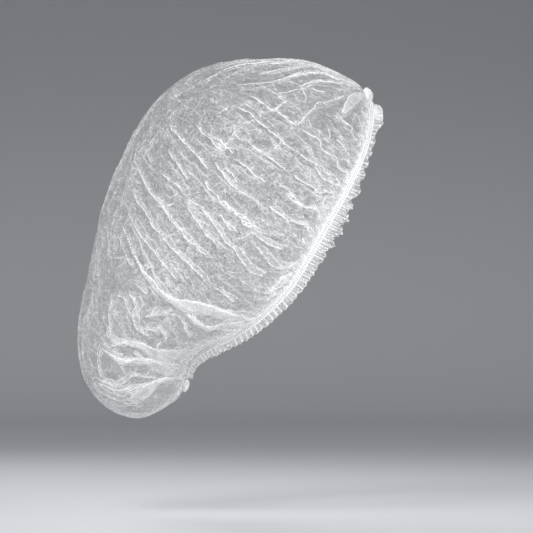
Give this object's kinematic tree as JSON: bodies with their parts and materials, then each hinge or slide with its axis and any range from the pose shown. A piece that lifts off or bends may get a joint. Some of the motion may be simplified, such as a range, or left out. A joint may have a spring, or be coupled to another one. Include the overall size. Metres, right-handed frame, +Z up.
{
  "type": "disposable hairnet",
  "caption": "Worn-form disposable hairnet: a thin see-through gathered web over an open head hollow, with stitched elastics, ruffled edges and a pleated tab at each end.",
  "frame": {"origin": "middle of the elastic opening, where the cap is held up by what it is worn on", "axes": "+X towards the face, +Y towards the wearer's left, +Z up"},
  "size_m": [0.2132, 0.1706, 0.2522],
  "materials": {
    "web": "thin white spunbond nonwoven, see-through, with random fine fibres and crease lines",
    "elastic": "white flat elastic stitched down with two rows of white thread",
    "tab": "many layers of the white web pleated and welded together"
  },
  "bodies": {
    "root": {"crown": "web", "elastic_right": "elastic", "elastic_left": "elastic", "ruffle_right": "web", "ruffle_left": "web", "front_tab": "tab", "rear_tab": "tab"}
  },
  "joints": []
}
